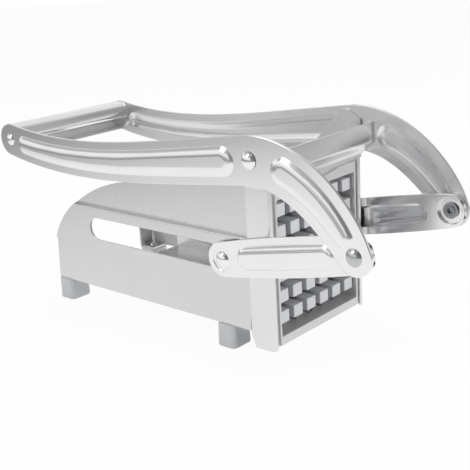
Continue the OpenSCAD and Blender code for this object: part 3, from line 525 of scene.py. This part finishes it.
def rolled_channel_tree() -> bpy.types.NodeTree:
    """Builds the tree of a sheet rolled round an axis across the cutter, open along one side.

    Returns:
        The tree. The sheet's section follows an arc, counted from the front and going over the top.
    """
    tree, given = new_geometry_tree("rolled_channel", {
        "Middle radius": "Float", "Thickness": "Float", "Length": "Float", "Edge radius": "Float",
        "First angle": "Float", "Sweep": "Float", "Place": "Vector", "Finish": "Material"})
    bend = add_node(tree, "GeometryNodeCurveArc", {
        "Resolution": BEND_STEPS, "Radius": given["Middle radius"], "Start Angle": given["First angle"],
        "Sweep Angle": given["Sweep"]}, mode="RADIUS")
    level = add_node(tree, "GeometryNodeSetCurveNormal", {"Curve": bend.outputs[0]}, mode="Z_UP")
    sheet = add_node(tree, "GeometryNodeCurvePrimitiveQuadrilateral", {
        "Width": given["Thickness"], "Height": given["Length"]})
    soft = add_node(tree, "GeometryNodeFilletCurve", {
        "Curve": sheet.outputs[0], "Count": EDGE_STEPS, "Radius": given["Edge radius"]}, mode="POLY")
    rolled = add_node(tree, "GeometryNodeCurveToMesh", {
        "Curve": level.outputs[0], "Profile Curve": soft.outputs[0], "Fill Caps": True})
    # The sheet's inside, whose faces look towards the arc's middle, is marked as the dull mill side
    towards = add_node(tree, "ShaderNodeVectorMath", {
        0: add_node(tree, "GeometryNodeInputNormal").outputs[0],
        1: add_node(tree, "GeometryNodeInputPosition").outputs[0]}, operation="DOT_PRODUCT")
    inwards = add_node(tree, "ShaderNodeMath", {0: towards.outputs["Value"], 1: 0.0}, operation="LESS_THAN")
    marked = add_node(tree, "GeometryNodeStoreNamedAttribute", {
        "Geometry": rolled.outputs[0], "Name": DULL_MARK, "Value": inwards.outputs[0]},
        data_type="FLOAT", domain="FACE")
    upright = add_node(tree, "GeometryNodeTransform", {
        "Geometry": marked.outputs[0], "Translation": given["Place"], "Rotation": (math.radians(90), 0.0, 0.0)})
    close_tree(tree, upright.outputs[0], given["Finish"])
    return tree


def middle(node: str) -> Vector:
    """Returns the middle of a CAD node's box, in metres."""
    low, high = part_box(node)
    return (Vector(low) + Vector(high)) / 2


# Sub-assemblies
@dataclass
class SubAssembly:
    """A group of pieces that is built and reported together."""

    label: str = "group"
    made: list[bpy.types.Object] = field(default_factory=list)

    def keep(self, piece: bpy.types.Object, body: str, slot: str, *nodes: str) -> bpy.types.Object:
        """Fixes a finished piece to its body and hides what it stands for.

        Args:
            piece: Finished object.
            body: CAD body that it moves with.
            slot: Material slot; not used.
            *nodes: CAD nodes that it replaces.

        Returns:
            The same object.
        """
        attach(piece, body)
        if nodes:
            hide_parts(*nodes)
        self.made.append(piece)
        return piece

    def sheet(self, name: str, body: str, slot: str, finish: RolledStainless, nodes: tuple[str, ...],
              fold_mm: float = 0.8, rim_mm: float = 0.16,
              crowns: tuple[tuple[float, float, float], ...] = ()) -> bpy.types.Object:
        """Softens CAD sheet pieces as one piece of pressed metal, its inside marked if the finish dulls it.

        Args:
            name: Name of the piece.
            body: CAD body that it moves with.
            slot: Material slot, passed on to keep.
            finish: Its finish.
            nodes: CAD nodes that it is made from and replaces.
            fold_mm: Width of the rounding along folds.
            rim_mm: Width of the rounding along cut rims.
            crowns: Level, rise and span of each flat that is crowned.

        Returns:
            The finished piece.
        """
        mesh = merged(*nodes)
        for level_mm, rise_mm, span_mm in crowns:
            crown(mesh, level_mm, rise_mm, span_mm)
        if finish.mill_dull:
            mark_mill_side(mesh)
        widest = max(fold_mm, rim_mm)
        weigh_edges(mesh, fold_mm / widest, rim_mm / widest)
        piece = to_object(name, mesh)
        piece.data.materials.clear()
        piece.data.materials.append(finish.material())
        round_edges(piece, widest, by_weight=True)
        return self.keep(piece, body, slot, *nodes)

    def repaint(self, node: str, finish: Finish) -> None:
        """Gives a CAD node that keeps its own mesh its real finish."""
        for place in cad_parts[node].material_slots:
            place.material = finish.material()

    def report(self) -> None:
        """Logs each piece of the group with its face count."""
        for piece in self.made:
            log.info("%s: %s, %d faces", self.label, piece.name, len(piece.data.polygons))


@dataclass
class Trough(SubAssembly):
    """Two folded side walls and the tray between them."""

    label: str = "trough"
    fold_mm: float = 0.5
    rim_mm: float = 0.16

    def build(self) -> None:
        """Builds the walls and the tray."""
        for side in ("right", "left"):
            self.sheet("side_wall_" + side, "base", "satin_steel", WALL_SHEET, ("wall_" + side,),
                       self.fold_mm, self.rim_mm)
        self.sheet("tray", "base", "satin_steel", SHEET_ALONG, ("floor_tray",), self.fold_mm, self.rim_mm)


@dataclass
class Housing(SubAssembly):
    """Front columns, lips, web, hood and pivot ears, bent from one sheet."""

    label: str = "housing"
    fold_mm: float = 1.3
    rim_mm: float = 0.16
    crowns: tuple[tuple[float, float, float], ...] = ((41.9, 0.2, 5.0),)

    def build(self) -> None:
        """Builds the housing as one sheet."""
        self.sheet("front_sheet", "base", "satin_steel", FRONT_SHEET, ("front_housing", "hood"),
                   self.fold_mm, self.rim_mm, self.crowns)


@dataclass
class FeetSet(SubAssembly):
    """Four moulded feet, drafted towards the skirt, with the screws that hold them."""

    label: str = "feet"
    corner_mm: float = 3.2
    edge_mm: float = 0.7
    draft_mm: float = 0.3

    def build(self, blocks: bpy.types.NodeTree) -> None:
        """Builds the feet.

        Args:
            blocks: Tree of drafted blocks.
        """
        rear, front = middle("foot_rear_right"), middle("foot_front_left")
        low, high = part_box("foot_front_left")
        length, width, height = (high[i] - low[i] for i in range(3))
        feet = grown("feet", blocks, {
            "Block length": length, "Block width": width, "Corner radius": self.corner_mm * MM,
            "Block height": height, "Draft share": 1 - 2 * self.draft_mm * MM / width, "Columns": 2, "Rows": 2,
            "Column pitch": front.x - rear.x, "Row pitch": front.y - rear.y, "Turn": (0.0, 0.0, 0.0),
            "Place": ((front.x + rear.x) / 2, 0.0, low[2]), "Finish": FOOT_RUBBER.material()})
        round_edges(feet, self.edge_mm, by_weight=False, segments=3)
        self.keep(feet, "base", "foot_plastic", "foot_front_right", "foot_front_left", "foot_rear_right",
                  "foot_rear_left")
        self.repaint("foot_screws", POLISHED)


@dataclass
class Cartridge(SubAssembly):
    """Slide-in frame with its two sets of crossed blades."""

    label: str = "cartridge"
    fold_mm: float = 0.5
    rim_mm: float = 0.25

    def build(self) -> None:
        """Builds the frame and gives the blades their ground finish."""
        self.sheet("cartridge", "base", "satin_steel", BLASTED, ("cartridge_frame",), self.fold_mm, self.rim_mm)
        for node in ("blades_upright", "blades_level"):
            self.repaint(node, GROUND_STRIP)


@dataclass
class Pusher(SubAssembly):
    """Peg block on its folded carrier, with pins and rollers that run in the side slots."""

    label: str = "pusher"
    cells: int = 6
    cell_pitch_mm: float = 11.75
    peg_width_mm: float = 8.0
    peg_height_mm: float = 7.2
    first_row_mm: float = 20.3
    plate_t_mm: float = 5.0
    corner_mm: float = 0.5
    plate_corner_mm: float = 1.5
    edge_mm: float = 0.35
    draft_mm: float = 0.2
    fold_mm: float = 0.6
    rim_mm: float = 0.16

    def build(self, blocks: bpy.types.NodeTree) -> None:
        """Builds the pegs, their plate and the carrier.

        Args:
            blocks: Tree of drafted blocks.
        """
        low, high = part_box("peg_block")
        plate_front = low[0] + self.plate_t_mm * MM
        length = high[0] - plate_front
        half_rows = (self.cells - 1) / 2 * self.cell_pitch_mm
        pegs = grown("pegs", blocks, {
            "Block length": self.peg_height_mm * MM, "Block width": self.peg_width_mm * MM,
            "Corner radius": self.corner_mm * MM, "Block height": length,
            "Draft share": 1 - 2 * self.draft_mm / self.peg_width_mm, "Columns": self.cells, "Rows": self.cells,
            "Column pitch": self.cell_pitch_mm * MM, "Row pitch": self.cell_pitch_mm * MM,
            "Turn": (0.0, math.radians(90), 0.0),
            "Place": (plate_front, 0.0, (self.first_row_mm + half_rows) * MM),
            "Finish": PEG_PLASTIC.material()})
        round_edges(pegs, self.edge_mm, by_weight=False)
        self.keep(pegs, "pusher", "peg_plastic")
        plate = grown("peg_plate", blocks, {
            "Block length": high[2] - low[2], "Block width": high[1] - low[1],
            "Corner radius": self.plate_corner_mm * MM, "Block height": self.plate_t_mm * MM,
            "Draft share": 1.0, "Columns": 1, "Rows": 1, "Column pitch": 0.0, "Row pitch": 0.0,
            "Turn": (0.0, math.radians(90), 0.0),
            "Place": (low[0], 0.0, (low[2] + high[2]) / 2), "Finish": PEG_PLASTIC.material()})
        round_edges(plate, self.edge_mm, by_weight=False)
        self.keep(plate, "pusher", "peg_plastic", "peg_block")
        self.sheet("carrier", "pusher", "satin_steel", SHEET_ALONG, ("pusher_carrier",),
                   self.fold_mm, self.rim_mm)
        self.repaint("carrier_screws", POLISHED)
        self.repaint("cross_pins", POLISHED)
        self.repaint("slot_rollers", PEG_PLASTIC)


@dataclass
class Handle(SubAssembly):
    """Pressed arms with stamped ribs, joined by a rolled grip over a tie rod."""

    label: str = "handle"
    fold_mm: float = 0.3
    rim_mm: float = 0.38
    crowns: tuple[tuple[float, float, float], ...] = ((49.2, 0.36, 2.3), (47.7, 0.36, 2.3))
    grip_t_mm: float = 1.2
    grip_edge_share: float = 0.3
    lip_deg: float = 12.0
    open_deg: float = 85.0

    def build(self, channel: bpy.types.NodeTree) -> None:
        """Builds the arms and the grip.

        Args:
            channel: Tree of the rolled channel.
        """
        for side in ("right", "left"):
            self.sheet("handle_arm_" + side, "handle", "pressed_steel", ARM_SHEET, ("arm_" + side,),
                       self.fold_mm, self.rim_mm, self.crowns)
        low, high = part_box("grip_channel")
        axle = middle("grip_tie_rod")
        outer = axle.x - low[0]
        grip = grown("grip", channel, {
            "Middle radius": outer - self.grip_t_mm * MM / 2, "Thickness": self.grip_t_mm * MM,
            "Length": high[1] - low[1], "Edge radius": self.grip_edge_share * self.grip_t_mm * MM,
            "First angle": math.radians(self.lip_deg),
            "Sweep": math.radians(360 - self.lip_deg - self.open_deg),
            "Place": (axle.x, 0.0, axle.z), "Finish": GRIP_SHEET.material()})
        self.keep(grip, "handle", "pressed_steel", "grip_channel")
        self.repaint("grip_tie_rod", POLISHED)
        self.repaint("grip_end_discs", SHEET_UPRIGHT)
        self.repaint("elbow_washers", DULL_STEEL)


@dataclass
class Links(SubAssembly):
    """Two pressed links from the arms' elbows to the pusher's pins."""

    label: str = "links"
    fold_mm: float = 0.3
    rim_mm: float = 0.2
    crowns: tuple[tuple[float, float, float], ...] = ((45.3, 0.25, 1.6), (43.9, 0.25, 1.6))

    def build(self) -> None:
        """Builds both links."""
        for side in ("right", "left"):
            self.sheet("link_bar_" + side, side + "_link", "pressed_steel", PRESSED_BRIGHT, ("link_" + side,),
                       self.fold_mm, self.rim_mm, self.crowns)


@dataclass
class Fasteners(SubAssembly):
    """Domed rivets and screws, which keep their CAD meshes."""

    label: str = "fasteners"

    def build(self) -> None:
        """Polishes the rivets and screws."""
        for node in ("pivot_rivets", "grip_screws", "link_rivet_right", "link_rivet_left"):
            self.repaint(node, POLISHED)
        self.repaint("elbow_rivets", ELBOW_STEEL)


# Studio
@dataclass(frozen=True)
class Card:
    """A bright or dark card that stands round the object and shows in its polished faces.

    Attributes:
        towards: Direction of the card's middle as seen from the object.
        full_deg: Angle from there within which the card is at its full level.
        fade_deg: Angle at which it has faded into the surroundings.
        level: Brightness of the card.
    """

    towards: tuple[float, float, float]
    full_deg: float
    fade_deg: float
    level: float

    def over(self, tree: bpy.types.NodeTree, ray: bpy.types.NodeSocket,
             under: bpy.types.NodeSocket | float) -> bpy.types.NodeSocket:
        """Lays the card over what lies round the object so far.

        Args:
            tree: World tree.
            ray: Direction that is looked up.
            under: Brightness without this card.

        Returns:
            Brightness with it.
        """
        return add_node(tree, "ShaderNodeMix", {0: self.share(tree, ray), 2: under, 3: self.level}).outputs[0]

    def share(self, tree: bpy.types.NodeTree, ray: bpy.types.NodeSocket) -> bpy.types.NodeSocket:
        """Returns how far the card fills the looked-up direction, from 0 to 1."""
        lean = add_node(tree, "ShaderNodeVectorMath", {0: ray, 1: Vector(self.towards).normalized()},
                        operation="DOT_PRODUCT")
        return add_node(tree, "ShaderNodeMapRange", {
            "Value": lean.outputs["Value"], "From Min": math.cos(math.radians(self.fade_deg)),
            "From Max": math.cos(math.radians(self.full_deg))}, interpolation_type="SMOOTHSTEP").outputs[0]


@dataclass(frozen=True)
class Strip(Card):
    """A long low card bent round one side of the object.

    Attributes:
        rise: Sine of the height angle of the strip's middle.
        full_rise: How far from there, in the same measure, the strip is at its full level.
        fade_rise: How far from there it has faded.
    """

    rise: float = 0.25
    full_rise: float = 0.14
    fade_rise: float = 0.22

    def share(self, tree: bpy.types.NodeTree, ray: bpy.types.NodeSocket) -> bpy.types.NodeSocket:
        """Returns how far the strip fills the looked-up direction, from 0 to 1."""
        flat = add_node(tree, "ShaderNodeVectorMath", {0: ray, 1: (1.0, 1.0, 0.0)}, operation="MULTIPLY")
        level_ray = add_node(tree, "ShaderNodeVectorMath", {0: flat.outputs[0]},
                             operation="NORMALIZE").outputs[0]
        height = add_node(tree, "ShaderNodeSeparateXYZ", {0: ray}).outputs["Z"]
        off = add_node(tree, "ShaderNodeMath", {0: height, 1: self.rise}, operation="SUBTRACT")
        away = add_node(tree, "ShaderNodeMath", {0: off.outputs[0]}, operation="ABSOLUTE")
        band = add_node(tree, "ShaderNodeMapRange", {
            "Value": away.outputs[0], "From Min": self.fade_rise, "From Max": self.full_rise},
            interpolation_type="SMOOTHSTEP")
        return add_node(tree, "ShaderNodeMath", {0: super().share(tree, level_ray), 1: band.outputs[0]},
                        operation="MULTIPLY").outputs[0]


@dataclass(frozen=True)
class Lamp:
    """A soft square lamp.

    Attributes:
        name: Name of the lamp.
        place: Where it hangs, in metres.
        aim: Point that it faces.
        size: Side of the square, in metres.
        watts: Power.
        mirrored: True if polished faces show it.
    """

    name: str
    place: tuple[float, float, float]
    aim: tuple[float, float, float]
    size: float
    watts: float
    mirrored: bool = False

    def hang(self) -> None:
        """Hangs the lamp in the scene."""
        data = bpy.data.lights.new(self.name, "AREA")
        data.size = self.size
        data.energy = self.watts
        lamp = bpy.data.objects.new(self.name, data)
        lamp.location = self.place
        lamp.rotation_euler = (Vector(self.aim) - Vector(self.place)).to_track_quat("-Z", "Y").to_euler()
        lamp.visible_glossy = self.mirrored
        bpy.context.scene.collection.objects.link(lamp)


@dataclass(frozen=True)
class Studio:
    """Pale floor that polished faces see as a painted glow, white surroundings, soft lamps and the photograph's
    camera.
    """

    floor_radius: float = 4.0
    floor_sides: int = 64
    floor_colour: str = "#f2f2f2"
    lens_mm: float = 71.104
    sensor_mm: float = 36.0
    camera_place: tuple[float, float, float] = (0.36061, -0.38384, 0.20878)
    camera_right: tuple[float, float, float] = (0.75219, 0.65644, -0.05740)
    camera_up: tuple[float, float, float] = (-0.15390, 0.25971, 0.95335)
    camera_back: tuple[float, float, float] = (0.64072, -0.70826, 0.29638)
    camera_sees: float = 0.94
    # painted light: the floor's glow in polished faces, near_gloss round gloss_middle fading to far_gloss
    gloss_middle: tuple[float, float, float] = (0.08, -0.12, 0.0)
    near_gloss: float = 1.0
    far_gloss: float = 0.3
    near_reach: float = 0.2
    far_reach: float = 0.8
    room_level: float = 0.46
    cards: tuple[Card, ...] = (
        Card((-0.42, 0.5, 0.74), 16, 42, 0.88), Strip((0.72, 0.66, 0.0), 25, 55, 0.85, 0.1, 0.16, 0.3),
        Card((0.3, 0.8, 0.52), 8, 24, 0.34), Strip((-0.75, -0.35, 0.0), 78, 105, 1.0),
        Card((0.62, -0.62, 0.35), 18, 38, 0.2))
    lamps: tuple[Lamp, ...] = (
        Lamp("key", (-0.55, -0.95, 0.95), (-0.1, -0.1, 0.0), 0.6, 3.0, mirrored=True),
        Lamp("top", (-0.1, 0.3, 1.2), (0.0, 0.0, 0.05), 0.8, 4.0),
        Lamp("front", (1.1, 0.1, 0.35), (0.0, 0.0, 0.05), 0.5, 5.5))

    def build(self) -> None:
        """Builds the floor, the world, the lamps and the camera."""
        self.lay_floor()
        self.fill_world()
        for lamp in self.lamps:
            lamp.hang()
        self.place_camera()
        bpy.context.scene.view_settings.view_transform = "Standard"

    def lay_floor(self) -> None:
        """Lays a round floor that looks white to the camera and keeps the shadow, and that polished faces see as
        a painted glow, brightest round gloss_middle.
        """
        mesh = bmesh.new()
        bmesh.ops.create_circle(mesh, cap_ends=True, segments=self.floor_sides, radius=self.floor_radius)
        floor = to_object("floor", mesh)
        material = bpy.data.materials.new("pale_floor")
        material.use_nodes = True
        tree = material.node_tree
        tree.nodes.clear()
        paper = add_node(tree, "ShaderNodeBsdfDiffuse", {"Color": linear(self.floor_colour)})
        white = add_node(tree, "ShaderNodeEmission", {"Color": linear("#ffffff"), "Strength": 1.0})
        ray = add_node(tree, "ShaderNodeLightPath")
        place = add_node(tree, "ShaderNodeTexCoord").outputs["Object"]
        away = add_node(tree, "ShaderNodeVectorMath", {0: place, 1: self.gloss_middle}, operation="DISTANCE")
        level = add_node(tree, "ShaderNodeMapRange", {
            "Value": away.outputs["Value"], "From Min": self.near_reach, "From Max": self.far_reach,
            "To Min": self.near_gloss, "To Max": self.far_gloss}, interpolation_type="SMOOTHSTEP")
        # Painted light: polished faces see the floor as this glow, not as the lit floor
        painted_floor_glow = add_node(tree, "ShaderNodeEmission", {"Color": linear("#ffffff"), "Strength": level.outputs[0]})
        seen = add_node(tree, "ShaderNodeMath", {0: ray.outputs["Is Camera Ray"], 1: self.camera_sees},
                        operation="MULTIPLY")
        mix = add_node(tree, "ShaderNodeMixShader", {
            0: seen.outputs[0], 1: paper.outputs[0], 2: white.outputs[0]})
        mirrored = add_node(tree, "ShaderNodeMixShader", {
            0: ray.outputs["Is Glossy Ray"], 1: mix.outputs[0], 2: painted_floor_glow.outputs[0]})
        add_node(tree, "ShaderNodeOutputMaterial", {"Surface": mirrored.outputs[0]})
        floor.data.materials.append(material)

    def fill_world(self) -> None:
        """Surrounds the object with white for the camera and a soft studio gradient for everything else."""
        world = bpy.data.worlds.new("studio")
        bpy.context.scene.world = world
        world.use_nodes = True
        tree = world.node_tree
        tree.nodes.clear()
        ray = add_node(tree, "ShaderNodeLightPath")
        towards = add_node(tree, "ShaderNodeTexCoord").outputs["Generated"]
        level: Any = self.room_level
        for card in self.cards:
            level = card.over(tree, towards, level)
        around = add_node(tree, "ShaderNodeBackground", {"Color": linear("#ffffff"), "Strength": level})
        white = add_node(tree, "ShaderNodeBackground", {"Color": linear("#ffffff"), "Strength": 1.0})
        mix = add_node(tree, "ShaderNodeMixShader", {
            0: ray.outputs["Is Camera Ray"], 1: around.outputs[0], 2: white.outputs[0]})
        add_node(tree, "ShaderNodeOutputWorld", {"Surface": mix.outputs[0]})

    def place_camera(self) -> None:
        """Places the camera where the photograph's was, with the same field of view."""
        data = bpy.data.cameras.new("camera")
        data.lens = self.lens_mm
        data.sensor_width = self.sensor_mm
        camera = bpy.data.objects.new("camera", data)
        turn = Matrix((self.camera_right, self.camera_up, self.camera_back)).transposed()
        camera.matrix_world = Matrix.Translation(self.camera_place) @ turn.to_4x4()
        bpy.context.scene.collection.objects.link(camera)
        bpy.context.scene.camera = camera


def main() -> None:
    """Builds every sub-assembly in order, then the studio."""
    logging.basicConfig(level=logging.INFO, format="%(name)s %(message)s")
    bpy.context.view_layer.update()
    blocks = block_grid_tree()
    channel = rolled_channel_tree()
    trough, housing, feet = Trough(), Housing(), FeetSet()
    cartridge, pusher, handle, links, fasteners = Cartridge(), Pusher(), Handle(), Links(), Fasteners()
    trough.build()
    housing.build()
    feet.build(blocks)
    cartridge.build()
    pusher.build(blocks)
    handle.build(channel)
    links.build()
    fasteners.build()
    for group in (trough, housing, feet, cartridge, pusher, handle, links, fasteners):
        group.report()
    Studio().build()


if __name__ == "__main__":
    main()
